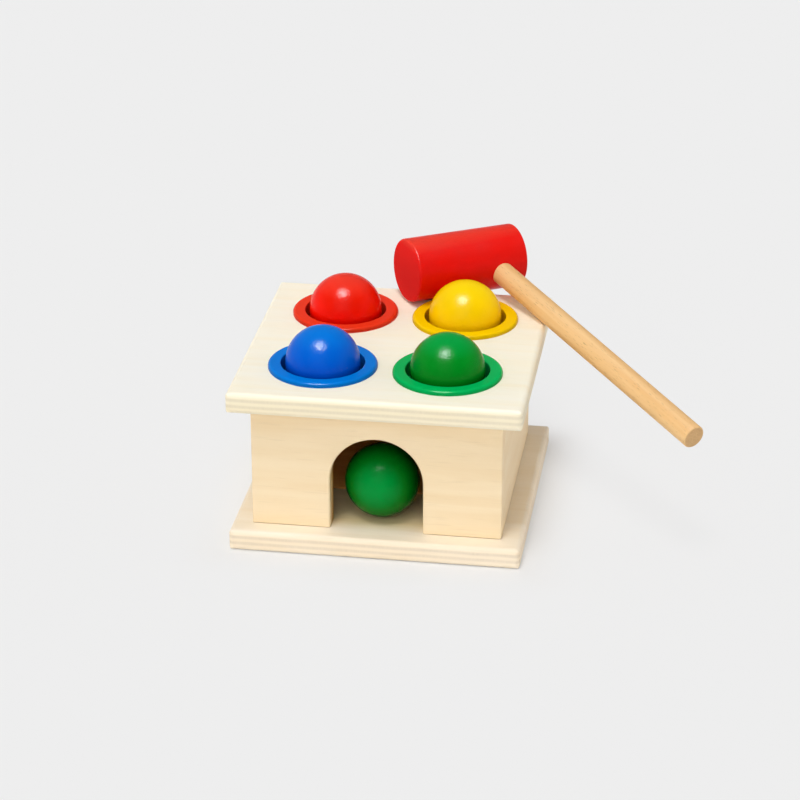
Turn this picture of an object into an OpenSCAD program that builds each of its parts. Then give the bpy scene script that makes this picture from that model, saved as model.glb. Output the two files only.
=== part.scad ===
// Ball pounding toy: a plywood box with four ball holes, a doorway in front and a hammer lying on top.
// Millimetres. The origin is the middle of the base plate's underside, +Z is up and -Y is the front.

/* [Plates] */
// Width of both plates, left to right
plate_w = 175; // [168:1:200]
// Depth of both plates, front to back
plate_d = 175; // [165:1:200]
// Thickness of the base plate
base_t = 13; // [10:0.5:18]
// Thickness of the top plate
top_t = 13; // [11:0.5:18]
// Radius on the plates' edges and corners
edge_r = 3; // [1:0.5:4.5]
// How far the plates reach past the walls
overhang = 12.5; // [8:0.5:16]

/* [Walls] */
// Height of the walls between the plates
wall_h = 77; // [75:1:100]
// Thickness of the front wall
front_t = 12; // [9:0.5:15]
// Thickness of the two side walls
side_t = 12; // [9:0.5:15]
// Thickness of the back wall
back_t = 9; // [8:0.5:15]
// Radius on the walls' edges
wall_ease = 0.8; // [0.3:0.1:1.5]

/* [Doorway] */
// Width of the arched doorway
arch_w = 56; // [50:1:64]
// Height of the arch's crown above the base plate
arch_h = 60; // [52:1:64]
// Width of the bevel round the doorway's outer edge
arch_bevel = 0.8; // [0.3:0.1:2]
// How far the ball in the doorway stands behind the front wall's outer face
door_set = 1.5; // [0:0.5:6]

/* [Balls] */
// Diameter of each ball
ball_d = 45; // [42:0.5:47]
// How far a seated ball's middle stands above the top plate
ball_rise = 2.5; // [1:0.25:3.5]
// Room between a dropping ball and the side walls
side_room = 3; // [1:0.5:5]
// Room between a dropping ball and the front and back walls
end_room = 1; // [0.5:0.5:4]

/* [Collars] */
// Gap between a ball and its collar's bore
bore_play = 2.6; // [2:0.1:3]
// Wall of the sleeve that goes through the top plate
sleeve_wall = 2.5; // [1.5:0.25:3.5]
// How far the flange reaches past the sleeve
flange_reach = 5.2; // [4:0.2:7]
// Thickness of the flange on the plate
flange_t = 2.8; // [2.2:0.1:4]
// Radius of the flange's outer rim
flange_rim_r = 2; // [0.6:0.1:2.1]
// Radius of the bore's mouth
mouth_r = 0.7; // [0.3:0.1:1]
// Least gap between the flanges of two collars
collar_gap = 2; // [0.5:0.5:6]

/* [Grip rings] */
// Radius of the bead on each tongue, which is how far it reaches under the ball
bead_r = 1.1; // [0.8:0.1:1.3]
// Height of the solid hoop that carries the tongues
hoop_h = 2.2; // [1.5:0.1:2.6]
// Number of slots across the ring, each parting two pairs of tongues
slot_pairs = 4; // [3:1:6]
// Width of each slot
slot_w = 2.4; // [1.5:0.1:4]

/* [Hammer] */
// Diameter of the hammer's head
head_d = 40; // [34:0.5:44]
// Length of the hammer's head
head_l = 75.5; // [68:0.5:84]
// Radius on the head's two rims
head_rim_r = 1.5; // [0.5:0.25:3]
// Turn of the head's axis from the plate's front edge, in degrees
head_turn = 34; // [28:0.5:40]
// How far the head dips towards its right end, in degrees
head_dip = 1.7; // [0.5:0.1:3]
// How far the head's middle lies along its axis past the yellow ball
head_along = 17; // [12:0.5:22]
// Diameter of the handle
handle_d = 14.4; // [12:0.2:16]
// Length of the handle from the head's axis to its free end
handle_l = 215.5; // [190:0.5:240]
// How far the handle sits off the middle of the head
handle_off = 18; // [10:0.5:22]
// How far the handle leans from square towards the head's right end, in degrees
handle_lean = 8; // [0:0.5:12]
// How far the handle's socket goes past the head's axis
socket_past = 10; // [6:0.5:13]
// Radius on the handle's ends
handle_end_r = 1.2; // [0.5:0.1:2]

/* [Ramp] */
// Thickness of the ramp board
ramp_t = 4; // [3:0.5:6]
// Height of the ramp's upper face at the back wall
ramp_rise = 20; // [16:1:26]
// Height of the planed nose at the ramp's front
ramp_nose = 1; // [0.5:0.25:2]
// Gap from the ball in the doorway to the ramp's nose
ramp_gap = 6; // [3:0.5:12]
// Length of the block under the ramp's back end
rest_l = 10; // [6:0.5:16]
// Length of a corner guide along the side wall
guide_side = 23; // [16:1:26]
// Distance from the doorway's jamb to a corner guide
guide_gap = 1; // [0.5:0.5:4]
// Height of the corner guides
guide_h = 16; // [12:0.5:20]

/* [Fasteners] */
// Diameter of the wooden dowels
dowel_d = 5; // [4:0.5:6]
// How deep a dowel goes into the piece that it ends in
dowel_in = 6; // [4:0.5:7]
// How deep a dowel goes into the wall's own edge
dowel_deep = 12; // [8:0.5:14]
// Distance from the box's corner to the outer dowels in the top plate
dowel_inset = 9; // [8:0.5:14]
// Height of the lower corner dowels above the base plate
dowel_low = 22; // [18:1:28]
// Height of the upper corner dowels above the base plate
dowel_high = 56; // [48:1:58]
// Shank diameter of the wood screws in the base
screw_d = 3.5; // [3:0.25:4]
// Head diameter of the wood screws
screw_head_d = 7; // [6:0.25:8]
// Length of the wood screws
screw_l = 28; // [20:1:32]
// How far the screw heads sit above the underside
screw_sunk = 0.6; // [0.3:0.1:1.5]
// Distance from the box's middle to each screw along its wall
screw_out = 45; // [38:1:52]
// Width of the driver's slot in a screw head
driver_w = 1; // [0.6:0.1:1.4]
// Depth of the driver's slot
driver_deep = 0.8; // [0.5:0.1:1.2]

/* [Fits] */
// Gap between pieces that only rest on each other
seat_gap = 0.25; // [0.15:0.05:0.4]
// Radial gap of pieces that are pushed into each other
push_fit = 0.1; // [0.05:0.05:0.2]
// Radial gap between a collar's sleeve and its hole in the top plate
sleeve_fit = 0.25; // [0.15:0.05:0.4]
// Gap between the collar's sleeve and the wall's top below it
sleeve_short = 0.4; // [0.2:0.1:1]

/* [Hidden] */
$fn = 96;

// How far a cut goes past the wood that it opens
cut_past = 1;

// Heights
wall_top = base_t + wall_h;
plate_top = wall_top + top_t;
ball_r = ball_d / 2;
ball_z = plate_top + ball_rise;

// Outside and inside of the box of walls
box_w = plate_w - 2 * overhang;
box_d = plate_d - 2 * overhang;
inner_w = box_w - 2 * side_t;
inner_front = front_t - box_d / 2;
inner_back = box_d / 2 - back_t;
inner_d = inner_back - inner_front;
inner_mid = (inner_front + inner_back) / 2;

// The ball holes sit as far apart as the walls let the balls drop
hole_x = inner_w / 2 - ball_r - side_room;
hole_y = inner_d / 2 - ball_r - end_room;

// Collars and grip rings
bore_r = ball_r + bore_play;
sleeve_r = bore_r + sleeve_wall;
flange_r = min(sleeve_r + flange_reach, min(hole_x, hole_y) - collar_gap / 2);
sleeve_foot = wall_top + sleeve_short;
hoop_out = bore_r - push_fit;
hoop_in = ball_r + seat_gap;
bead_z = ball_z - sqrt(pow(ball_r + bead_r + seat_gap, 2) - pow(ball_r, 2));
hoop_top = sleeve_foot + hoop_h;

// Doorway and the ball that stands in it
arch_r = arch_w / 2;
door_y = ball_r + door_set - box_d / 2;

// Ramp: its upper and lower faces as lines from the nose to the back wall
ramp_front = door_y + ball_r + ramp_gap;
ramp_angle = atan((ramp_rise - ramp_nose) / (inner_back - ramp_front));
ramp_drop = ramp_t / cos(ramp_angle);
function ramp_under(y) = ramp_nose + (y - ramp_front) * tan(ramp_angle) - ramp_drop;
ramp_toe = ramp_front + (ramp_drop - ramp_nose) / tan(ramp_angle);

// The hammer's head rests on the rim of the yellow collar and, further back, on the plate's back edge.
// Its axis is aside of the hole's middle, and falls from a height over the rim's middle as it goes aside.
head_r = head_d / 2;
handle_r = handle_d / 2;
yellow_y = inner_mid + hole_y;
rim_out = flange_r - flange_rim_r;
rim_z = plate_top + flange_t - flange_rim_r;
rim_reach = head_r + flange_rim_r + seat_gap;
edge_y = plate_d / 2 - edge_r;
edge_z = plate_top - edge_r;
head_slope = tan(head_dip) / sin(head_turn);
head_fall = head_slope * cos(head_turn);
head_high = edge_z - rim_z + (edge_y - yellow_y) * head_slope
    + (head_r + edge_r + seat_gap) * sqrt(1 + pow(head_slope, 2));
rim_part = rim_out + head_fall * head_high;
rim_rest = pow(rim_out, 2) + pow(head_high, 2) - pow(rim_reach, 2);
fall_share = 1 + pow(head_fall, 2);
head_aside = (rim_part + sqrt(pow(rim_part, 2) - fall_share * rim_rest)) / fall_share;
head_x = hole_x - head_aside * sin(head_turn) + head_along * cos(head_turn);
head_y = yellow_y + head_aside * cos(head_turn) + head_along * sin(head_turn);
head_z = rim_z + head_high - head_fall * head_aside - head_along * tan(head_dip);

// The handle comes down from the head's axis onto the plate's right edge
handle_x = head_x + handle_off * cos(head_dip) * cos(head_turn);
handle_y = head_y + handle_off * cos(head_dip) * sin(head_turn);
handle_z = head_z - handle_off * sin(head_dip);
handle_turn = head_turn + handle_lean;
edge_dx = handle_x - (plate_w / 2 - edge_r);
edge_dz = handle_z - edge_z;
edge_slope = atan2(edge_dx, edge_dz) + acos((handle_r + edge_r + seat_gap) / norm([edge_dx, edge_dz]));
handle_tilt = atan(tan(edge_slope) * sin(handle_turn));

// Middle lines of the walls, where dowels and screws go
front_line = (front_t - box_d) / 2;
back_line = (box_d - back_t) / 2;
side_line = (box_w - side_t) / 2;
end_x = box_w / 2 - dowel_inset;

WOOD = "BlanchedAlmond";
RED = "red";
YELLOW = "gold";
BLUE = "royalblue";
GREEN = "forestgreen";

// Outlines

module round_rect(w, h, r) {
    square([w - 2 * r, h], center = true);
    square([w, h - 2 * r], center = true);
    for (x = [-1, 1], y = [-1, 1])
        translate([x * (w / 2 - r), y * (h / 2 - r)]) circle(r);
}

// Plate or board with rounded edges and corners, standing on z = 0
module eased_block(w, d, t, r) {
    intersection() {
        linear_extrude(t) round_rect(w, d, r);
        translate([0, d / 2, t / 2]) rotate([90, 0, 0]) linear_extrude(d) round_rect(w, t, r);
        translate([-w / 2, 0, t / 2]) rotate([90, 0, 90]) linear_extrude(w) round_rect(d, t, r);
    }
}

// Rod along +Z with rounded ends
module eased_rod(r, l, rim) {
    rotate_extrude() {
        square([r - rim, l]);
        translate([0, rim]) square([r, l - 2 * rim]);
        for (z = [rim, l - rim]) translate([r - rim, z]) circle(rim);
    }
}

// Upright board with its middle at (x, y), standing on the base plate
module board(x, y, w, d) {
    translate([x, y, base_t]) eased_block(w, d, wall_h, wall_ease);
}

// Places that repeat

module hole_place(side, row) {
    translate([side * hole_x, inner_mid + row * hole_y, 0]) children();
}

module each_hole() {
    for (side = [-1, 1], row = [-1, 1]) hole_place(side, row) children();
}

// Two screws up into each wall
module each_screw() {
    for (s = [-1, 1]) {
        translate([s * screw_out, front_line, 0]) children();
        translate([s * screw_out, back_line, 0]) children();
        translate([s * side_line, inner_mid + screw_out, 0]) children();
        translate([s * side_line, inner_mid - screw_out, 0]) children();
    }
}

// Dowels that stand in the walls' top edges
module each_top_dowel() {
    for (x = [-end_x, 0, end_x]) {
        translate([x, front_line, wall_top]) children();
        translate([x, back_line, wall_top]) children();
    }
    for (s = [-1, 1]) translate([s * side_line, inner_mid, wall_top]) children();
}

// Dowels from the front and back walls into the side walls' ends, pointing inwards along +Z of the child
module each_corner_dowel() {
    for (s = [-1, 1], z = [dowel_low, dowel_high]) {
        translate([s * side_line, inner_front, base_t + z]) rotate([-90, 0, 0]) children();
        translate([s * side_line, inner_back, base_t + z]) rotate([90, 0, 0]) children();
    }
}

module hammer_place() {
    translate([head_x, head_y, head_z]) rotate([0, head_dip, head_turn]) children();
}

module handle_place() {
    translate([handle_x, handle_y, handle_z]) rotate([90 + handle_tilt, 0, handle_turn]) children();
}

// Fasteners and the holes that take them

module dowel(fit) {
    translate([0, 0, -dowel_deep - fit]) cylinder(d = dowel_d + 2 * fit, h = dowel_deep + dowel_in + 2 * fit);
}

module corner_dowel(fit) {
    translate([0, 0, -dowel_in - fit]) cylinder(d = dowel_d + 2 * fit, h = dowel_deep + dowel_in + 2 * fit);
}

module screw(fit) {
    head_h = (screw_head_d - screw_d) / 2;
    translate([0, 0, screw_sunk]) {
        cylinder(d1 = screw_head_d + 2 * fit, d2 = screw_d + 2 * fit, h = head_h);
        cylinder(d = screw_d + 2 * fit, h = screw_l + fit);
    }
}

module screw_hole() {
    screw(push_fit);
    translate([0, 0, -cut_past]) cylinder(d = screw_head_d + 2 * push_fit, h = screw_sunk + cut_past);
}

// Plates and walls

module base_plate() {
    color(WOOD) difference() {
        eased_block(plate_w, plate_d, base_t, edge_r);
        each_screw() screw_hole();
    }
}

module top_plate() {
    color(WOOD) difference() {
        translate([0, 0, wall_top]) eased_block(plate_w, plate_d, top_t, edge_r);
        each_hole() translate([0, 0, wall_top - cut_past]) cylinder(r = sleeve_r + sleeve_fit, h = top_t + 2 * cut_past);
        each_top_dowel() dowel(push_fit);
    }
}

// Arched doorway through the front wall, with a bevel round its outer edge
module doorway() {
    spring = arch_h - arch_r;
    translate([0, inner_front + cut_past, base_t]) rotate([90, 0, 0]) linear_extrude(front_t + 2 * cut_past) {
        translate([0, spring]) circle(arch_r);
        translate([-arch_r, -cut_past]) square([arch_w, spring + cut_past]);
    }
    translate([0, -box_d / 2, base_t + spring]) rotate([90, 0, 0]) {
        rotate_extrude(angle = 180) translate([arch_r, 0]) bevel_cut();
        for (s = [0, 1]) mirror([s, 0, 0]) rotate([90, 0, 0]) linear_extrude(spring + cut_past)
            translate([arch_r, 0]) bevel_cut();
    }
}

// Section of the bevel: the corner to be cut is the origin, with wood to the right and below
module bevel_cut() {
    polygon([[-cut_past, cut_past], [arch_bevel + cut_past, cut_past], [-cut_past, -arch_bevel - cut_past]]);
}

module front_wall() {
    color(WOOD) difference() {
        board(0, front_line, box_w, front_t);
        doorway();
        each_screw() screw_hole();
        each_top_dowel() dowel(push_fit);
        each_corner_dowel() corner_dowel(push_fit);
    }
}

module back_wall() {
    color(WOOD) difference() {
        board(0, back_line, box_w, back_t);
        each_screw() screw_hole();
        each_top_dowel() dowel(push_fit);
        each_corner_dowel() corner_dowel(push_fit);
    }
}

module side_wall(side) {
    color(WOOD) difference() {
        board(side * side_line, inner_mid, side_t, inner_d);
        each_screw() screw_hole();
        each_top_dowel() dowel(push_fit);
        each_corner_dowel() corner_dowel(push_fit);
    }
}

module left_wall() { side_wall(-1); }
module right_wall() { side_wall(1); }

// Ramp and guides inside the box

module ramp_board() {
    color(WOOD) translate([-inner_w / 2, 0, base_t]) rotate([90, 0, 90]) linear_extrude(inner_w)
        polygon([[ramp_front, 0], [ramp_front, ramp_nose], [inner_back, ramp_rise],
            [inner_back, ramp_under(inner_back)], [ramp_toe, 0]]);
}

module ramp_rest() {
    color(WOOD) translate([-inner_w / 2, 0, base_t]) rotate([90, 0, 90]) linear_extrude(inner_w)
        polygon([[inner_back - rest_l, 0], [inner_back, 0], [inner_back, ramp_under(inner_back)],
            [inner_back - rest_l, ramp_under(inner_back - rest_l)]]);
}

module corner_guide(side) {
    color(WOOD) translate([0, 0, base_t]) linear_extrude(guide_h)
        polygon([[side * inner_w / 2, inner_front], [side * inner_w / 2, inner_front + guide_side],
            [side * (arch_r + guide_gap), inner_front]]);
}

module left_guide() { corner_guide(-1); }
module right_guide() { corner_guide(1); }

// Collars, grip rings and balls

// Quarter of a disc, for a rounded corner that faces right and up, or left and up where side is -1
module quarter_disc(r, side) {
    intersection() {
        circle(r);
        translate([side * r / 2, r / 2]) square(r, center = true);
    }
}

// Flange on the plate with a sleeve down through it
module collar(side, row, tint) {
    flange_top = plate_top + flange_t;
    color(tint) hole_place(side, row) rotate_extrude() {
        translate([bore_r, sleeve_foot]) square([sleeve_wall, flange_top - mouth_r - sleeve_foot]);
        translate([bore_r + mouth_r, plate_top]) square([flange_r - bore_r - mouth_r - flange_rim_r, flange_t]);
        translate([bore_r, plate_top]) square([flange_r - bore_r, flange_t - flange_rim_r]);
        translate([bore_r + mouth_r, flange_top - mouth_r]) quarter_disc(mouth_r, -1);
        translate([flange_r - flange_rim_r, flange_top - flange_rim_r]) quarter_disc(flange_rim_r, 1);
    }
}

// Hoop with springy tongues that lean inwards to a bead under the ball
module grip(side, row, tint) {
    color(tint) hole_place(side, row) difference() {
        rotate_extrude() {
            polygon([[hoop_in, sleeve_foot], [hoop_out, sleeve_foot], [hoop_out, hoop_top],
                [ball_r + bead_r, bead_z], [ball_r - bead_r / 2, bead_z], [hoop_in, hoop_top]]);
            translate([ball_r, bead_z]) circle(bead_r);
        }
        for (i = [0:slot_pairs - 1]) rotate(i * 180 / slot_pairs)
            translate([-bore_r, -slot_w / 2, hoop_top]) cube([2 * bore_r, slot_w, ball_z - hoop_top]);
    }
}

module seated_ball(side, row, tint) {
    color(tint) hole_place(side, row) translate([0, 0, ball_z]) sphere(ball_r);
}

module red_collar() { collar(-1, 1, RED); }
module yellow_collar() { collar(1, 1, YELLOW); }
module blue_collar() { collar(-1, -1, BLUE); }
module green_collar() { collar(1, -1, GREEN); }

module red_grip() { grip(-1, 1, RED); }
module yellow_grip() { grip(1, 1, YELLOW); }
module blue_grip() { grip(-1, -1, BLUE); }
module green_grip() { grip(1, -1, GREEN); }

module red_ball() { seated_ball(-1, 1, RED); }
module yellow_ball() { seated_ball(1, 1, YELLOW); }
module blue_ball() { seated_ball(-1, -1, BLUE); }
module green_ball() { seated_ball(1, -1, GREEN); }

module doorway_ball() {
    color(GREEN) translate([0, door_y, base_t + ball_r + seat_gap]) sphere(ball_r);
}

// Hammer

module hammer_head() {
    color(RED) difference() {
        hammer_place() translate([-head_l / 2, 0, 0]) rotate([0, 90, 0]) eased_rod(head_r, head_l, head_rim_r);
        handle_place() translate([0, 0, -socket_past - push_fit])
            cylinder(r = handle_r + push_fit, h = socket_past + head_d);
    }
}

module hammer_handle() {
    color("BurlyWood") handle_place() translate([0, 0, -socket_past])
        eased_rod(handle_r, handle_l + socket_past, handle_end_r);
}

// Fasteners

module base_screws() {
    color("silver") each_screw() difference() {
        screw(0);
        translate([-screw_head_d, -driver_w / 2, screw_sunk - cut_past])
            cube([2 * screw_head_d, driver_w, driver_deep + cut_past]);
    }
}

module top_dowels() {
    color("BurlyWood") each_top_dowel() dowel(0);
}

module corner_dowels() {
    color("BurlyWood") each_corner_dowel() corner_dowel(0);
}

base_plate();
top_plate();
front_wall();
back_wall();
left_wall();
right_wall();
ramp_board();
ramp_rest();
left_guide();
right_guide();
red_collar();
yellow_collar();
blue_collar();
green_collar();
red_grip();
yellow_grip();
blue_grip();
green_grip();
red_ball();
yellow_ball();
blue_ball();
green_ball();
doorway_ball();
hammer_head();
hammer_handle();
base_screws();
top_dowels();
corner_dowels();
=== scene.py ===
# %% [markdown]
# # Ball pounding toy
# A square plywood box with four coloured balls held in collars, a fifth ball waiting in the doorway, and a
# hammer that lies on top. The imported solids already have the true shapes, so this lesson is about finishes:
# plywood with its plies, plain boards, lacquer, moulded plastic, beech and steel, all made from shader nodes.
# Only the screws are made again, by a Geometry Nodes tree. The camera and the light come first, because every
# finish is judged in them.

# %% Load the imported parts
import math
import bpy
import numpy
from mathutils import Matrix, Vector


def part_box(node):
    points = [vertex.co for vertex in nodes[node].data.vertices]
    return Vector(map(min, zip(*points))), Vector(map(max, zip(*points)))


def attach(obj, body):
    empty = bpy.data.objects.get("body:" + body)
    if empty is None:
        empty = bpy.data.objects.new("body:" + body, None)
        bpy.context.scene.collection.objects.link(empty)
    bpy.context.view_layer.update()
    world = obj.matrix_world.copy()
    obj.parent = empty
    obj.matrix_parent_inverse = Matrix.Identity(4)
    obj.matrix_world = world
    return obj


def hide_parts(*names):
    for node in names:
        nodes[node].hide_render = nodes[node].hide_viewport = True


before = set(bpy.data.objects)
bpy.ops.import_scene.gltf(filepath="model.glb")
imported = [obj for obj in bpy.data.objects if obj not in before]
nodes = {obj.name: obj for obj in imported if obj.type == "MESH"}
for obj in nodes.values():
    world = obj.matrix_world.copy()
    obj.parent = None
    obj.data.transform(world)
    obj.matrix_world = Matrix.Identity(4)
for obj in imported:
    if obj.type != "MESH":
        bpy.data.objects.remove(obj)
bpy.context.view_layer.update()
scene = bpy.context.scene

# %% [markdown]
# ## The camera
# The picture is taken from the front, a little to the right and well above. A long lens keeps the box's edges
# nearly parallel. Azimuth and elevation say where the camera looks from, which is easier to read than Euler
# angles, and `to_track_quat` turns that direction into a rotation.

# %% Camera
CAMERA_AZIMUTH = 8.527
CAMERA_ELEVATION = 24.859
CAMERA_PLACE = (0.22988, -1.51285, 0.77384)
CAMERA_LENS = 123.73
SENSOR_WIDTH = 36


def direction(azimuth, elevation):
    """Unit vector from the object to a place at this azimuth and elevation, in degrees."""
    turn, rise = math.radians(azimuth), math.radians(elevation)
    level = math.cos(rise)
    return Vector((math.sin(turn) * level, -math.cos(turn) * level, math.sin(rise)))


camera_data = bpy.data.cameras.new("camera")
camera_data.lens = CAMERA_LENS
camera_data.sensor_width = SENSOR_WIDTH
camera = bpy.data.objects.new("camera", camera_data)
camera.location = CAMERA_PLACE
camera.rotation_mode = "QUATERNION"
camera.rotation_quaternion = (-direction(CAMERA_AZIMUTH, CAMERA_ELEVATION)).to_track_quat("-Z", "Y")
scene.collection.objects.link(camera)
scene.camera = camera
print("camera at", [round(v, 3) for v in camera.location])

# %% [markdown]
# ## Colours
# Screens show sRGB, but light adds up in linear values, and that is what a shader's colour socket takes. So a
# colour is written here as it looks on a screen, from 0 to 255, and turned to linear once.

# %% Colours


def srgb(red, green, blue):
    """Linear colour of an sRGB colour given as 0 to 255."""
    def linear(value):
        share = value / 255
        return share / 12.92 if share <= 0.04045 else ((share + 0.055) / 1.055) ** 2.4
    return (linear(red), linear(green), linear(blue), 1)


def grey(value):
    """Colour of one grey level, for ramps that drive a factor."""
    return (value, value, value, 1)


def scaled(colour, share):
    """The same colour, darker or lighter by this share."""
    return tuple(min(value * share, 1) for value in colour[:3]) + (1,)


print("half of the screen's scale is", round(srgb(127.5, 127.5, 127.5)[0], 3), "in linear light")

# %% [markdown]
# ## Node helpers
# A finish is a small graph of shader nodes. Made by hand, each node takes several lines. These helpers make a
# node with its settings in one call, and give the few joints that every finish needs: a sum or product, a mix
# of two colours, a ramp, and a value that is brought from one range to another.

# %% Node helpers


def add_node(tree, kind, inputs=None, **settings):
    """New node. Each input is a value, or another node's output to join it to."""
    made = tree.nodes.new(kind)
    for name, value in settings.items():
        setattr(made, name, value)
    for name, value in (inputs or {}).items():
        if isinstance(value, bpy.types.NodeSocket):
            tree.links.new(value, made.inputs[name])
        else:
            made.inputs[name].default_value = value
    return made


def calculate(tree, operation, first, second=0.0):
    """Output of a Math node."""
    return add_node(tree, "ShaderNodeMath", {0: first, 1: second}, operation=operation).outputs[0]


def calculate_vector(tree, operation, first, second=(0, 0, 0)):
    """Outputs of a Vector Math node, which are Vector and Value."""
    return add_node(tree, "ShaderNodeVectorMath", {0: first, 1: second}, operation=operation).outputs


def mixed(tree, factor, first, second, blend="MIX"):
    """Colour output of a Mix node, whose colour sockets are inputs 6 and 7 and output 2."""
    inputs = {0: factor, 6: first, 7: second}
    return add_node(tree, "ShaderNodeMix", inputs, data_type="RGBA", blend_type=blend).outputs[2]


def ramp(tree, factor, *stops):
    """Colour output of a ramp with stops of (place, colour)."""
    made = add_node(tree, "ShaderNodeValToRGB", {"Fac": factor})
    elements = made.color_ramp.elements
    while len(elements) < len(stops):
        elements.new(0.5)
    for element, (place, colour) in zip(elements, stops):
        element.position = place
        element.color = colour
    return made.outputs["Color"]


def between(tree, factor, low, high, first=0.0, last=1.0):
    """Value that goes from first at low to last at high, and stays there beyond them."""
    inputs = {"Value": factor, "From Min": low, "From Max": high, "To Min": first, "To Max": last}
    return add_node(tree, "ShaderNodeMapRange", inputs).outputs[0]


print("node helpers ready, for Blender", bpy.app.version_string)

# %% [markdown]
# ## Patterns and finishes
# Wood, paint and plastic all need patterns that stay on the piece, so every pattern reads Object coordinates.
# Scaling them more across the grain than along it stretches a noise into grain. The direction that a surface
# faces tells end grain from side grain, and an edge from a face. A finish is a Principled shader with a colour,
# a roughness and a little bump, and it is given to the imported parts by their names.

# %% Patterns and finishes
UPRIGHT = Vector((0, 0, 1))


def placed(tree, scale=(1, 1, 1), turn=(0, 0, 0)):
    """Object coordinates, turned and then scaled, so that a pattern lies along a piece."""
    source = add_node(tree, "ShaderNodeTexCoord").outputs["Object"]
    turned = add_node(tree, "ShaderNodeMapping", {"Vector": source, "Rotation": turn}).outputs[0]
    return add_node(tree, "ShaderNodeMapping", {"Vector": turned, "Scale": scale}).outputs[0]


def height_at(tree):
    """Height above the floor, in metres."""
    return add_node(tree, "ShaderNodeSeparateXYZ", {0: placed(tree)}).outputs["Z"]


def along(tree, axis):
    """How squarely the surface faces along this axis: 1 where it faces it and 0 where it runs along it."""
    normal = add_node(tree, "ShaderNodeNewGeometry").outputs["Normal"]
    return calculate(tree, "ABSOLUTE", calculate_vector(tree, "DOT_PRODUCT", normal, axis)["Value"])


def noise(tree, place, detail=3.0, roughness=0.5, distortion=0.0):
    """Factor of a noise texture in coordinates that are already scaled."""
    inputs = {"Vector": place, "Scale": 1.0, "Detail": detail, "Roughness": roughness}
    inputs["Distortion"] = distortion
    return add_node(tree, "ShaderNodeTexNoise", inputs).outputs[0]


def new_finish(name, specular):
    """Material with a Principled shader, its tree and the shader."""
    finish = bpy.data.materials.new(name)
    finish.use_nodes = True
    tree = finish.node_tree
    tree.nodes.clear()
    shader = add_node(tree, "ShaderNodeBsdfPrincipled", {"Specular IOR Level": specular})
    add_node(tree, "ShaderNodeOutputMaterial", {"Surface": shader.outputs[0]})
    return finish, tree, shader


def paint(tree, shader, colour, roughness):
    """Join a colour and a roughness to the shader."""
    tree.links.new(colour, shader.inputs["Base Color"])
    tree.links.new(roughness, shader.inputs["Roughness"])


def raise_surface(tree, shader, height, strength, distance):
    """Bump the shader's normal with this height, as deep as distance in metres at strength 1."""
    bump = add_node(tree, "ShaderNodeBump", {"Height": height, "Strength": strength, "Distance": distance})
    tree.links.new(bump.outputs[0], shader.inputs["Normal"])


def dress(finish, *names):
    """Give the parts with these names this finish."""
    for name in names:
        nodes[name].data.materials.clear()
        nodes[name].data.materials.append(finish)


print("parts to dress:", ", ".join(sorted(nodes)))

# %% [markdown]
# ## The room
# White screens stand at both sides, the backdrop and the ceiling are darker, and the room behind the camera is
# dark, which keeps the lacquer's colours deep. One graph over the direction makes all of it, so there is no
# need for an image. As behind a polarising filter, the room is half as bright in reflections.

# %% World
BACKGROUND = srgb(239, 239, 239)
SCREENS = grey(1.45)
SCREEN_EDGE = 0.3, 0.9
BACKDROP = grey(0.5)
CEILING = grey(0.36)
ROOM = grey(0.08)
ROOM_TOWARDS = direction(5, 25)
ROOM_EDGE = 0.2, 0.8
REFLECTED = 0.5

world = bpy.data.worlds.new("studio")
scene.world = world
world.use_nodes = True
sky = world.node_tree
sky.nodes.clear()
heading = add_node(sky, "ShaderNodeTexCoord").outputs["Generated"]
split = add_node(sky, "ShaderNodeSeparateXYZ", {0: heading}).outputs
aside = between(sky, calculate(sky, "ABSOLUTE", split["X"]), *SCREEN_EDGE)
walls = mixed(sky, aside, BACKDROP, SCREENS)
sweep = mixed(sky, between(sky, split["Z"], 0.0, 1.0), walls, CEILING)
facing = calculate_vector(sky, "DOT_PRODUCT", heading, ROOM_TOWARDS)["Value"]
studio = mixed(sky, between(sky, facing, *ROOM_EDGE), sweep, ROOM)
mirrored = add_node(sky, "ShaderNodeLightPath").outputs["Is Glossy Ray"]
brightness = between(sky, mirrored, 0.0, 1.0, 1.0, REFLECTED)
light = add_node(sky, "ShaderNodeBackground", {"Color": studio, "Strength": brightness})
add_node(sky, "ShaderNodeOutputWorld", {"Surface": light.outputs[0]})
scene.view_settings.view_transform = "Standard"
print("world nodes:", len(sky.nodes))

# %% [markdown]
# ## Lamps
# A round soft box hangs overhead and a little to the front, a large panel leans over the front, and a fill
# stands low in front. Suns with a wide angle stand in for the lamps, because they light the floor evenly and
# still throw soft shadows. The lamps stay out of reflections. One more lamp in the soft box's place is seen in
# reflections only: it makes the bright spot on each ball.

# %% Lamps
SOFT_BOX = (-0.093, -0.296, 0.950)
KEY = {"towards": SOFT_BOX, "angle": 20, "strength": 1.3}
GLINT = {"towards": SOFT_BOX, "angle": 24, "strength": 12.0}
PANEL = {"towards": direction(-6, 40), "angle": 50, "strength": 0.85}
FILL = {"towards": direction(-5, 8), "angle": 60, "strength": 0.81}


def add_sun(name, towards, angle, strength):
    """Lamp far away in this direction, as wide as this angle in degrees."""
    data = bpy.data.lights.new(name, "SUN")
    data.energy = strength
    data.angle = math.radians(angle)
    lamp = bpy.data.objects.new(name, data)
    lamp.rotation_mode = "QUATERNION"
    lamp.rotation_quaternion = Vector(towards).to_track_quat("Z", "Y")
    scene.collection.objects.link(lamp)
    return lamp


add_sun("key_lamp", **KEY).visible_glossy = False
add_sun("glint_lamp", **GLINT).visible_diffuse = False
add_sun("panel_lamp", **PANEL).visible_glossy = False
add_sun("fill_lamp", **FILL).visible_glossy = False

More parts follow.
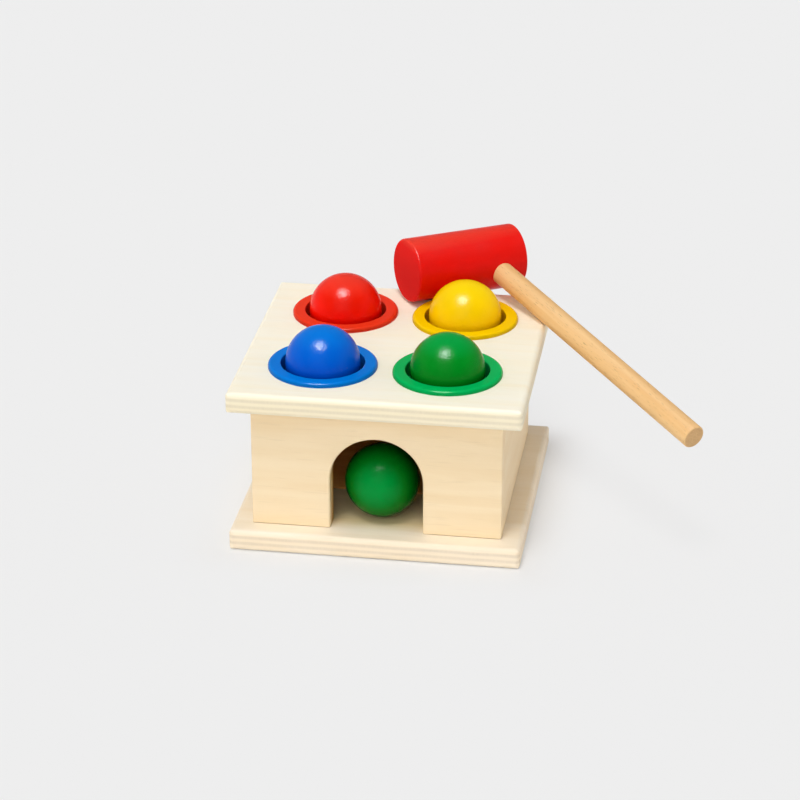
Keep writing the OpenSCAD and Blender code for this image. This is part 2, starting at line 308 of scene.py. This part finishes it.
# %% [markdown]
# ## Floor
# One large flat plane in the background's grey. Its colour is divided by the light on a level surface, so that
# it renders as the background's grey and only the toy's shadow is darker. A retouched studio picture keeps most
# of the shadow where the toy stands and little of it further off: where the camera sees the floor, directly or
# in a reflection, the plain background's own brightness takes over with the distance from the base. The floor
# still lights the toy as the whole diffuse plane that it is.

# %% Floor
FLOOR_HALF = 15.0
LEVEL_LIGHT = 1.08
PAPER_ROUGHNESS = 0.9
SHADOW_NEAR = 0.7
SHADOW_FAR = 0.14
SHADOW_REACH = 0.04
SHADOW_FALL = 2.0

corners = [(-1, -1), (1, -1), (1, 1), (-1, 1)]
floor_mesh = bpy.data.meshes.new("floor")
floor_mesh.from_pydata([(x * FLOOR_HALF, y * FLOOR_HALF, 0) for x, y in corners], [], [(0, 1, 2, 3)])
floor = bpy.data.objects.new("floor", floor_mesh)
scene.collection.objects.link(floor)
paper, tree, shader = new_finish("paper_sweep", 0.0)
shader.inputs["Base Color"].default_value = scaled(BACKGROUND, 1 / LEVEL_LIGHT)
shader.inputs["Roughness"].default_value = PAPER_ROUGHNESS
rays = add_node(tree, "ShaderNodeLightPath").outputs
reflected = calculate(tree, "MAXIMUM", rays["Is Glossy Ray"], rays["Is Transmission Ray"])
seen = calculate(tree, "MAXIMUM", rays["Is Camera Ray"], reflected)
base_half = tuple(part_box("base_plate")[1].xy) + (1,)
folded = calculate_vector(tree, "ABSOLUTE", placed(tree))["Vector"]
beyond = calculate_vector(tree, "SUBTRACT", folded, base_half)["Vector"]
beyond = calculate_vector(tree, "MAXIMUM", beyond)["Vector"]
distance = calculate_vector(tree, "LENGTH", beyond)["Value"]
closeness = calculate(tree, "POWER", between(tree, distance, 0.0, SHADOW_REACH, 1.0, 0.0), SHADOW_FALL)
plain = between(tree, closeness, 0.0, 1.0, 1 - SHADOW_FAR, 1 - SHADOW_NEAR)
glow = add_node(tree, "ShaderNodeEmission", {"Color": BACKGROUND, "Strength": 1.0})
share = calculate(tree, "MULTIPLY", seen, plain)
surface = add_node(tree, "ShaderNodeMixShader", {0: share, 1: shader.outputs[0], 2: glow.outputs[0]})
tree.links.new(surface.outputs[0], tree.nodes["Material Output"].inputs["Surface"])
floor_mesh.materials.append(paper)
print("floor colour", [round(v, 3) for v in shader.inputs["Base Color"].default_value])

# %% [markdown]
# ## Inside of the box
# Only the outside of the box is lacquered. Inside, the wood is unlacquered, and darker and browner as painted
# shade. A wall is one mesh with both finishes, so whether a point lies inside is read from its place between the
# walls, and the doorway's floor and jambs go softly from one finish to the other. The limits come from the
# imported parts and follow their sizes.

# %% Inside of the box
EDGE_ROOM = 0.0005

chamber_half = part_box("right_wall")[0].x + EDGE_ROOM
chamber_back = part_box("back_wall")[0].y + EDGE_ROOM
chamber_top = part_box("top_plate")[0].z + EDGE_ROOM
base_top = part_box("base_plate")[1].z
doorway_front, doorway_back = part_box("front_wall")[0].y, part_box("front_wall")[1].y


def chamber(tree):
    """1 inside the box and 0 outside, with a soft change through the doorway."""
    split = add_node(tree, "ShaderNodeSeparateXYZ", {0: placed(tree)}).outputs
    inside = between(tree, split["Y"], doorway_front + 2 * EDGE_ROOM, doorway_back - EDGE_ROOM)
    width = calculate(tree, "ABSOLUTE", split["X"])
    for place, limit in ((width, chamber_half), (split["Y"], chamber_back), (split["Z"], chamber_top)):
        inside = calculate(tree, "MULTIPLY", inside, calculate(tree, "LESS_THAN", place, limit))
    above = calculate(tree, "GREATER_THAN", split["Z"], base_top - EDGE_ROOM)
    return calculate(tree, "MULTIPLY", inside, above)


print("inside of the box, in mm:", round(chamber_half * 2000, 1), "wide")

# %% [markdown]
# ## Grain
# Birch and other pale woods show two things: a broad quiet flame and short darker dashes, which are its pores.
# Both are noise stretched along the grain. The flame uses the noise as it is, bent a little, and the dashes are
# only the noise's peaks.

# %% Grain
FLAME_SCALE = 6, 75, 75
FIGURE_EDGE = 0.3, 0.75
WOOD_SHINE = 0.1
PORE_DEPTH = 0.0001


def flame(tree, turn=(0, 0, 0)):
    """Broad soft figure of a board, running along X before the turn."""
    return noise(tree, placed(tree, FLAME_SCALE, turn), detail=3.0, roughness=0.55, distortion=1.2)


def dashes(tree, scale, edge, turn=(0, 0, 0)):
    """Sparse short dashes along X before the turn: 1 in a dash and 0 beside it."""
    return between(tree, noise(tree, placed(tree, scale, turn), detail=1.0), *edge)


def stained(tree, body, dash, strength, tone):
    """The colour of a board with its dashes in a darker tone."""
    return mixed(tree, calculate(tree, "MULTIPLY", dash, strength), body, tone)


def sink(tree, shader, dash, strength):
    """Let the dashes lie a little below the surface."""
    raise_surface(tree, shader, calculate(tree, "SUBTRACT", 1.0, dash), strength, PORE_DEPTH)


print("grain is", FLAME_SCALE[1] / FLAME_SCALE[0], "times as long as wide")

# %% [markdown]
# ## Plywood plates
# Both plates are birch plywood with five plies: the pale outer veneers run left to right, and the cross plies
# show as two soft lines round the edge. The lines have to follow the rounded edges and run round inside the
# ball holes, so the ply is read from the height inside the plate and not from an image. A slow noise makes the
# lines wave a little. Cut edges have a tint of their own; the base plate's tint is above 1 and paints light
# onto its edges.

# %% Plywood
PLIES = 4.1, 1.9, 2.05, 1.9, 3.05
PLY_BLUR = 0.04
PLY_WAVE = 0.0008
WAVE_SCALE = 22, 22, 8
CROSS_SHADE = (0.87, 0.86, 0.85, 1)
END_SCALE = 900, 900, 160
END_STRENGTH = 0.75, 1.0
CUT_EDGE = 0.35, 0.9
PORE_SCALE = 60, 1300, 1300
PORE_EDGE = 0.62, 0.74
PORE_STAIN = 0.22
PORE_SHADE = 0.8
PORE_BUMP = 0.12
RAW_SHADE = 0.9
PLATE_ROUGHNESS = 0.46, 0.58


def cross_plies(tree, foot):
    """1 on the cross plies and 0 on the others, stacked from this height in metres."""
    wave = calculate(tree, "MULTIPLY", noise(tree, placed(tree, WAVE_SCALE), detail=2.0), PLY_WAVE)
    height = calculate(tree, "ADD", height_at(tree), wave)
    above = calculate(tree, "SUBTRACT", height, foot + PLY_WAVE / 2)
    share = calculate(tree, "DIVIDE", above, sum(PLIES) / 1000)
    stops, place = [], 0.0
    for index, ply in enumerate(PLIES[:-1]):
        place += ply / sum(PLIES)
        stops.append((place - PLY_BLUR, grey(index % 2)))
        stops.append((place + PLY_BLUR, grey((index + 1) % 2)))
    return ramp(tree, share, *stops)


def plywood(name, foot, pale, deep, edge_tint_and_light, unlacquered_and_painted_shade):
    """Plies from this height up in a pale and a deeper tone, tinted on cut edges, unlacquered with painted shade
    inside.
    """
    finish, tree, shader = new_finish(name, WOOD_SHINE)
    grain = flame(tree)
    figure = between(tree, grain, *FIGURE_EDGE)
    veneer = mixed(tree, figure, pale, deep)
    end_grain = between(tree, noise(tree, placed(tree, END_SCALE), detail=2.0), 0.3, 0.7, *END_STRENGTH)
    cross = calculate(tree, "MULTIPLY", cross_plies(tree, foot), end_grain)
    body = mixed(tree, cross, veneer, CROSS_SHADE, "MULTIPLY")
    # A tint above 1 on the cut edges is painted light.
    cut = between(tree, along(tree, UPRIGHT), *CUT_EDGE, 1.0, 0.0)
    body = mixed(tree, cut, body, edge_tint_and_light, "MULTIPLY")
    # Inside the box: unlacquered tones, darker and browner as painted shade.
    body = mixed(tree, chamber(tree), body, mixed(tree, figure, unlacquered_and_painted_shade, scaled(unlacquered_and_painted_shade, RAW_SHADE)))
    pore = dashes(tree, PORE_SCALE, PORE_EDGE)
    body = stained(tree, body, pore, PORE_STAIN, scaled(deep, PORE_SHADE))
    paint(tree, shader, body, between(tree, grain, 0.2, 0.8, *PLATE_ROUGHNESS))
    sink(tree, shader, pore, PORE_BUMP)
    return finish


# Tones: pale, deep, cut-edge tint and inside. The base plate's edge tint above 1 is painted light; the darker
# inside tones are painted shade.
TOP_TONES = srgb(253, 247, 229), srgb(252, 242, 216), srgb(252, 248, 239), srgb(226, 190, 132)
BASE_TONES = srgb(239, 227, 207), srgb(234, 218, 191), (1.14, 1.11, 1.08, 1), srgb(242, 219, 170)
for plate, tones in (("top_plate", TOP_TONES), ("base_plate", BASE_TONES)):
    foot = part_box(plate)[0].z
    dress(plywood(plate + "_plywood", foot, *tones), plate)
    print(plate, "plies start at", round(foot * 1000, 2), "mm")

# %% [markdown]
# ## Wall boards
# The four walls are plain boards, warmer than the plates, with level grain and a few short darker dashes. The
# side walls run front to back, so their pattern is turned by a quarter about the upright axis. A thin darker
# line shows where the walls stand on the base: a glued joint, with the crease's shadow painted into it. Inside
# they are unlacquered, like the ramp, its rest and the corner guides, and darker and browner as painted shade.

# %% Boards
WALL_TONES = srgb(252, 230, 193), srgb(246, 220, 178)
# Unlacquered tones for inside the box, darker and browner as painted shade.
RAW_AND_PAINTED_SHADE_TONES = srgb(242, 182, 100), srgb(226, 158, 74)
QUARTER_TURN = (0, 0, math.radians(90))
DASH_SCALE = 55, 1100, 1100
DASH_EDGE = 0.63, 0.73
DASH_STAIN = 0.18
DASH_SHADE = 0.8
DASH_BUMP = 0.15
GLUE_AND_SHADOW_LINE = 0.0007
GLUE_AND_SHADOW_STRENGTH = 0.5
GLUE_AND_SHADOW_TONE = 0.5
BOARD_ROUGHNESS = 0.5, 0.64


def board_wood(name, tones, turn=(0, 0, 0), unlacquered_and_painted_shade=None):
    """Straight grain along X before the turn, with sparse dashes. A wall also has unlacquered tones with painted
    shade inside the box.
    """
    finish, tree, shader = new_finish(name, WOOD_SHINE)
    deep = tones[1]
    figure = between(tree, flame(tree, turn), *FIGURE_EDGE)
    dash = dashes(tree, DASH_SCALE, DASH_EDGE, turn)
    body = stained(tree, mixed(tree, figure, *tones), dash, DASH_STAIN, scaled(deep, DASH_SHADE))
    if unlacquered_and_painted_shade:
        # Painted shadow of the crease at the wall's foot, over a darker glued joint.
        low, high = base_top + GLUE_AND_SHADOW_LINE / 2, base_top + GLUE_AND_SHADOW_LINE
        glue_and_shadow = between(tree, height_at(tree), low, high, GLUE_AND_SHADOW_STRENGTH, 0.0)
        body = mixed(tree, glue_and_shadow, body, scaled(deep, GLUE_AND_SHADOW_TONE))
        # Inside the box: unlacquered tones, darker and browner as painted shade.
        body = mixed(tree, chamber(tree), body, mixed(tree, figure, *unlacquered_and_painted_shade))
    paint(tree, shader, body, between(tree, figure, 0.0, 1.0, *BOARD_ROUGHNESS))
    sink(tree, shader, dash, DASH_BUMP)
    return finish


dress(board_wood("wall_wood_across", WALL_TONES, unlacquered_and_painted_shade=RAW_AND_PAINTED_SHADE_TONES), "front_wall", "back_wall")
dress(board_wood("wall_wood_along", WALL_TONES, QUARTER_TURN, RAW_AND_PAINTED_SHADE_TONES), "left_wall", "right_wall")
dress(board_wood("inner_wood", RAW_AND_PAINTED_SHADE_TONES), "ramp_board", "ramp_rest", "left_guide", "right_guide")
print("walls stand on the base at", round(base_top * 1000, 2), "mm")

# %% [markdown]
# ## Lacquer
# The balls and the hammer's head are turned wood under thick opaque lacquer. Lacquer is never quite even: its
# colour clouds a little where the coat is thinner, and its surface has the faint waves that painters call
# orange peel. Both come from noise, a slow one for the colour and a fine one for the bump, and the slow one
# also varies the gloss. Light and shade are also painted into the colour: a ramp over the piece's height makes
# it bright over the top, a painted highlight, and deep round the middle, painted shade. On the ball in the
# doorway the ramp runs towards the front, so its painted light faces the front. The head's ends are end grain,
# which drinks the coat and stays dull.

# %% Lacquer
CLOUD_SCALE = 55, 55, 55
CLOUD_EDGE = 0.25, 0.75
CLOUD_SHADE = 0.92
PEEL_SCALE = 1000, 1000, 1000
PEEL_BUMP = 0.3
PEEL_DEPTH = 0.0005
END_EDGE = 0.8, 0.98
DULL_END = 0.9


def painted_light_and_shade(tree, piece, tones, heights, up):
    """Painted light and shade: the tones of middle, shoulder and top at these shares of the height."""
    low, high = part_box(piece)
    middle, reach = ((low + high) / 2).dot(up), (high.z - low.z) / 2
    lift = calculate_vector(tree, "DOT_PRODUCT", placed(tree), up)["Value"]
    return ramp(tree, between(tree, lift, middle - reach, middle + reach), *zip(heights, tones))


def lacquer(name, piece, tones, heights, specular, gloss, up=UPRIGHT, axis=None):
    """Opaque paint with painted light and shade, orange peel and a gloss that varies, and dull on the axis's
    ends.
    """
    finish, tree, shader = new_finish(name, specular)
    cloud = noise(tree, placed(tree, CLOUD_SCALE), detail=2.0)
    cloudy = mixed(tree, between(tree, cloud, *CLOUD_EDGE), grey(1), grey(CLOUD_SHADE))
    # Painted light on top and painted shade round the middle.
    body = mixed(tree, 1.0, painted_light_and_shade(tree, piece, tones, heights, up), cloudy, "MULTIPLY")
    roughness = between(tree, cloud, 0.3, 0.7, *gloss)
    if axis:
        dullness = between(tree, along(tree, axis), *END_EDGE, 0.0, DULL_END)
        roughness = calculate(tree, "MAXIMUM", roughness, dullness)
    paint(tree, shader, body, roughness)
    peel = noise(tree, placed(tree, PEEL_SCALE), detail=1.0)
    raise_surface(tree, shader, peel, PEEL_BUMP, PEEL_DEPTH)
    return finish


print("orange peel waves are about", 1000 / PEEL_SCALE[0], "mm long")

# %% [markdown]
# ## Balls and hammer head
# Each colour has three tones, for the middle, the shoulder and the top, which paint shade round the middle and
# a highlight on top. The ball in the doorway stands in the shade of the plate, and its tones are darker copies
# that paint that shade. On the head the painted shade runs all down its side and the painted highlight only
# along its top. Its axis is found from its mesh, as the direction in which its points spread the most, and a
# surface that faces along it is an end.

# %% Lacquered pieces
# Middle, shoulder and top tones: the top's paler tone is a painted highlight, the middle's deeper one painted
# shade.
LACQUER_WITH_PAINTED_LIGHT = {
    "red": (srgb(248, 14, 0), srgb(240, 28, 6), srgb(243, 58, 40)),
    "yellow": (srgb(255, 200, 0), srgb(255, 208, 0), srgb(255, 217, 8)),
    "blue": (srgb(0, 80, 197), srgb(0, 97, 208), srgb(0, 121, 222)),
    "green": (srgb(0, 121, 22), srgb(0, 137, 33), srgb(0, 162, 66)),
}
BALL_HEIGHTS = 0.52, 0.8, 0.98
BALL_SHINE = 0.08
BALL_GLOSS = 0.16, 0.24
# The doorway ball's tones are darker copies that paint the plate's shade, and its painted light faces the front.
DOOR_HEIGHTS = 0.66, 0.86, 0.99
DOOR_PAINTED_SHADE = 0.66, 0.74, 0.78
DOOR_PAINTED_LIGHT_FACING = direction(-1, 14)
# The head's middle and shoulder tones are darker copies of the red: painted shade down its side.
HEAD_HEIGHTS = 0.52, 0.88, 0.99
HEAD_PAINTED_SHADE = 0.78, 0.9
HEAD_SHINE = 0.13
HEAD_GLOSS = 0.3, 0.4


def long_axis(node):
    """Direction in which a piece's points spread the most."""
    points = numpy.array([vertex.co for vertex in node.data.vertices])
    spread = numpy.cov((points - points.mean(axis=0)).T)
    return Vector(numpy.linalg.eigh(spread)[1][:, -1])


for tint, tones in LACQUER_WITH_PAINTED_LIGHT.items():
    ball = tint + "_ball"
    dress(lacquer(tint + "_lacquer", ball, tones, BALL_HEIGHTS, BALL_SHINE, BALL_GLOSS), ball)

ball = "doorway_ball"
greens = [scaled(tone, shade) for tone, shade in zip(LACQUER_WITH_PAINTED_LIGHT["green"], DOOR_PAINTED_SHADE)]
dress(lacquer("green_lacquer_painted_shade", ball, greens, DOOR_HEIGHTS, BALL_SHINE, BALL_GLOSS, DOOR_PAINTED_LIGHT_FACING), ball)

head = "hammer_head"
head_axis = long_axis(nodes[head])
deep_red, bright_red = LACQUER_WITH_PAINTED_LIGHT["red"][0], LACQUER_WITH_PAINTED_LIGHT["red"][-1]
reds = [scaled(deep_red, shade) for shade in HEAD_PAINTED_SHADE] + [bright_red]
dress(lacquer("head_lacquer", head, reds, HEAD_HEIGHTS, HEAD_SHINE, HEAD_GLOSS, axis=head_axis), head)
print("lacquered:", sorted(LACQUER_WITH_PAINTED_LIGHT), "head runs along", [round(v, 3) for v in head_axis])

# %% [markdown]
# ## Moulded plastic
# Each collar is moulded in its ball's colour, a shade cooler. Plastic is cleaner than paint: one even colour, a
# very fine satin texture and a crisp line of light on the rolled rim. Shade is painted on the rim's upright
# edge, so it is deeper than the flat top. The grip ring under it is a softer, duller plastic.

# %% Collars and grip rings
PLASTIC = {
    "red": srgb(240, 58, 28),
    "yellow": srgb(252, 205, 0),
    "blue": srgb(0, 123, 219),
    "green": srgb(0, 181, 90),
}
PLASTIC_SHINE = 0.06
SATIN_SCALE = 2600, 2600, 2600
SATIN_DEPTH = 0.0001
DRIFT_SCALE = 40, 40, 40
DRIFT_EDGE = 0.3, 0.7
DRIFT_SHADE = 0.95
RIM_EDGE = 0.3, 0.9
# Share of the colour on the rim's upright edges: painted shade.
RIM_PAINTED_SHADE = 0.65
COLLAR = {"roughness": 0.2, "satin": 0.03}
GRIP = {"roughness": 0.5, "satin": 0.1}
GRIP_SHADE = 0.8


def plastic(name, colour, roughness, satin):
    """Even colour with a fine satin texture, and painted shade that makes upright edges deeper than level faces.
    """
    finish, tree, shader = new_finish(name, PLASTIC_SHINE)
    drift = noise(tree, placed(tree, DRIFT_SCALE), detail=2.0)
    body = mixed(tree, between(tree, drift, *DRIFT_EDGE), colour, scaled(colour, DRIFT_SHADE))
    # Painted shade on upright edges.
    edge = between(tree, along(tree, UPRIGHT), *RIM_EDGE, 1.0, 0.0)
    body = mixed(tree, edge, body, scaled(colour, RIM_PAINTED_SHADE))
    paint(tree, shader, body, between(tree, drift, *DRIFT_EDGE, roughness * 0.9, roughness * 1.1))
    raise_surface(tree, shader, noise(tree, placed(tree, SATIN_SCALE), detail=1.0), satin, SATIN_DEPTH)
    return finish


for tint, colour in PLASTIC.items():
    dress(plastic(tint + "_plastic", colour, **COLLAR), tint + "_collar")
    dress(plastic(tint + "_soft_plastic", scaled(colour, GRIP_SHADE), **GRIP), tint + "_grip")
print("collars and grips:", sorted(PLASTIC))

# %% [markdown]
# ## Beech
# The handle is a beech dowel. Beech has fine straight grain with short dark flecks along it, and darker, duller
# end grain. The handle lies at a slant, so the pattern is turned by the rotation that brings its long axis onto
# X, and end grain shows where the surface faces along that axis. The glued dowels are the same wood.

# %% Handle and dowels
BEECH_TONES = srgb(242, 200, 142), srgb(228, 177, 112)
BEECH_SHINE = 0.2
BEECH_ROUGHNESS = 0.42, 0.55
STRIPE_SCALE = 9, 220, 220
STRIPE_EDGE = 0.3, 0.72
FLECK_SCALE = 200, 2200, 2200
FLECK_EDGE = 0.66, 0.72
FLECK_STAIN = 0.55
FLECK_SHADE = 0.5
FLECK_BUMP = 0.15
END_TONES = srgb(222, 181, 128), srgb(203, 160, 108)
VESSEL_SCALE = 300, 1800, 1800
VESSEL_EDGE = 0.35, 0.65
SAWN_EDGE = 0.75, 0.95


def beech(name, axis):
    """Grain and flecks along this axis, and end grain across it."""
    turn = tuple(axis.rotation_difference(Vector((1, 0, 0))).to_euler())
    finish, tree, shader = new_finish(name, BEECH_SHINE)
    pale, deep = BEECH_TONES
    stripe = noise(tree, placed(tree, STRIPE_SCALE, turn), detail=3.0, roughness=0.55, distortion=0.4)
    body = mixed(tree, between(tree, stripe, *STRIPE_EDGE), pale, deep)
    fleck = dashes(tree, FLECK_SCALE, FLECK_EDGE, turn)
    body = stained(tree, body, fleck, FLECK_STAIN, scaled(deep, FLECK_SHADE))
    vessels = noise(tree, placed(tree, VESSEL_SCALE, turn), detail=2.0)
    end_grain = mixed(tree, between(tree, vessels, *VESSEL_EDGE), *END_TONES)
    body = mixed(tree, between(tree, along(tree, axis), *SAWN_EDGE), body, end_grain)
    paint(tree, shader, body, between(tree, stripe, 0.2, 0.8, *BEECH_ROUGHNESS))
    sink(tree, shader, fleck, FLECK_BUMP)
    return finish


handle_axis = long_axis(nodes["hammer_handle"])
dress(beech("beech_handle", handle_axis), "hammer_handle")
dress(beech("beech_upright", UPRIGHT), "top_dowels")
dress(beech("beech_level", Vector((0, 1, 0))), "corner_dowels")
print("handle runs along", [round(v, 3) for v in handle_axis])

# %% [markdown]
# ## Screw steel
# Eight countersunk wood screws hold the walls to the base, and only their heads show, from below. Bright zinc
# over steel: metal takes its colour from what it reflects, so the graph only varies the gloss and adds fine
# scratches.

# %% Screw steel
STEEL_TONES = srgb(206, 206, 210), srgb(178, 178, 184)
STEEL_ROUGHNESS = 0.22, 0.38
SCRATCH_SCALE = 4000, 300, 300
SCRATCH_EDGE = 0.3, 0.7
SCRATCH_BUMP = 0.1
SCRATCH_DEPTH = 0.00005

steel, tree, shader = new_finish("screw_steel", 0.5)
shader.inputs["Metallic"].default_value = 1.0
scratch = noise(tree, placed(tree, SCRATCH_SCALE), detail=2.0)
zinc = mixed(tree, between(tree, scratch, *SCRATCH_EDGE), *STEEL_TONES)
paint(tree, shader, zinc, between(tree, scratch, *SCRATCH_EDGE, *STEEL_ROUGHNESS))
raise_surface(tree, shader, scratch, SCRATCH_BUMP, SCRATCH_DEPTH)
print("steel has", len(tree.nodes), "nodes")

# %% [markdown]
# ## One screw as a rule
# All eight screws are alike, so one Geometry Nodes tree builds a screw and sets a copy at every point that it
# is given. The head is a cone with a cut for the driver, taken out by a Boolean, and the shank goes on where
# the cone ends. Sizes are the tree's named inputs, so a longer screw is one number. The tree ends in Realize
# Instances, because the export keeps no instances, and Set Material.

# %% Screw tree
SCREW = {
    "Head diameter": 0.007,
    "Shank diameter": 0.0035,
    "Length": 0.028,
    "Cut width": 0.001,
    "Cut depth": 0.0008,
}
ROUND_STEPS = 48

screw_tree = bpy.data.node_groups.new("countersunk_screws", "GeometryNodeTree")


def add_input(name, kind):
    """Named input of the screw tree."""
    return screw_tree.interface.new_socket(name, in_out="INPUT", socket_type=kind)


def grow(kind, inputs, output, **settings):
    """Output of a new node in the screw tree."""
    return add_node(screw_tree, kind, inputs, **settings).outputs[output]


add_input("Points", "NodeSocketGeometry")
sizes = {name: add_input(name, "NodeSocketFloat") for name in SCREW}
coat = add_input("Finish", "NodeSocketMaterial")
screw_tree.interface.new_socket("Screws", in_out="OUTPUT", socket_type="NodeSocketGeometry")

given = add_node(screw_tree, "NodeGroupInput").outputs
head_radius = calculate(screw_tree, "DIVIDE", given["Head diameter"], 2.0)
shank_radius = calculate(screw_tree, "DIVIDE", given["Shank diameter"], 2.0)
head_height = calculate(screw_tree, "SUBTRACT", head_radius, shank_radius)
cone = {"Vertices": ROUND_STEPS, "Radius Bottom": head_radius, "Radius Top": shank_radius}
cone = grow("GeometryNodeMeshCone", cone | {"Depth": head_height}, "Mesh")
cut_height = calculate(screw_tree, "MULTIPLY", given["Cut depth"], 2.0)
across = calculate(screw_tree, "MULTIPLY", given["Head diameter"], 2.0)
cut_size = grow("ShaderNodeCombineXYZ", {"X": across, "Y": given["Cut width"], "Z": cut_height}, 0)
cut = grow("GeometryNodeMeshCube", {"Size": cut_size}, "Mesh")
slotted = {"Mesh 1": cone, "Mesh 2": cut}
slotted = grow("GeometryNodeMeshBoolean", slotted, "Mesh", operation="DIFFERENCE")
shank_length = calculate(screw_tree, "SUBTRACT", given["Length"], head_height)
shank = {"Vertices": ROUND_STEPS, "Radius": shank_radius, "Depth": shank_length}
shank = grow("GeometryNodeMeshCylinder", shank, "Mesh")
middle = calculate(screw_tree, "ADD", head_height, calculate(screw_tree, "DIVIDE", shank_length, 2.0))
rise = grow("ShaderNodeCombineXYZ", {"Z": middle}, 0)
shank = grow("GeometryNodeTransform", {"Geometry": shank, "Translation": rise}, "Geometry")
screw = add_node(screw_tree, "GeometryNodeJoinGeometry", {"Geometry": slotted})
screw_tree.links.new(shank, screw.inputs["Geometry"])
copies = {"Points": given["Points"], "Instance": screw.outputs["Geometry"]}
copies = grow("GeometryNodeInstanceOnPoints", copies, "Instances")
whole = grow("GeometryNodeRealizeInstances", {"Geometry": copies}, "Geometry")
coated = grow("GeometryNodeSetMaterial", {"Geometry": whole, "Material": given["Finish"]}, "Geometry")
add_node(screw_tree, "NodeGroupOutput", {"Screws": coated})
print("screw tree:", len(screw_tree.nodes), "nodes, inputs", list(SCREW))

# %% [markdown]
# ## Screws in their places
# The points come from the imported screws: their lowest vertices are the rims of the heads, and the middle of a
# rim lies on its screw's axis. Vertices within about one head's width of each other belong to one screw. The
# modifier's result is copied to a plain mesh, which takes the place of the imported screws. The primitives leave
# an empty material slot before the one that the tree sets, so the plain mesh gets the steel as its only slot.

# %% Set the screws
RIM_ROOM = 0.00005
SAME_RIM = SCREW["Head diameter"] * 1.1

rims = []
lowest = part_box("base_screws")[0].z
for vertex in nodes["base_screws"].data.vertices:
    if vertex.co.z > lowest + RIM_ROOM:
        continue
    rim = next((rim for rim in rims if (rim[0] - vertex.co).length < SAME_RIM), None)
    if rim is None:
        rims.append([vertex.co.copy()])
    else:
        rim.append(vertex.co.copy())
axes = []
for rim in rims:
    points = numpy.array(rim)
    axes.append(tuple((points.min(axis=0) + points.max(axis=0)) / 2))

points_mesh = bpy.data.meshes.new("screw_points")
points_mesh.from_pydata(axes, [], [])
screws = bpy.data.objects.new("countersunk_screws", points_mesh)
scene.collection.objects.link(screws)
maker = screws.modifiers.new("screws", "NODES")
maker.node_group = screw_tree
for name, size in SCREW.items():
    maker[sizes[name].identifier] = size
maker[coat.identifier] = steel
depsgraph = bpy.context.evaluated_depsgraph_get()
screw_mesh = bpy.data.meshes.new_from_object(screws.evaluated_get(depsgraph))
screws.modifiers.clear()
screws.data = screw_mesh
screw_mesh.materials.clear()
screw_mesh.materials.append(steel)
for polygon in screw_mesh.polygons:
    polygon.material_index = 0
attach(screws, "box")
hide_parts("base_screws")
first = [round(v * 1000, 1) for v in axes[0]]
print("screws:", len(axes), "faces:", len(screw_mesh.polygons), "first at", first, "mm")
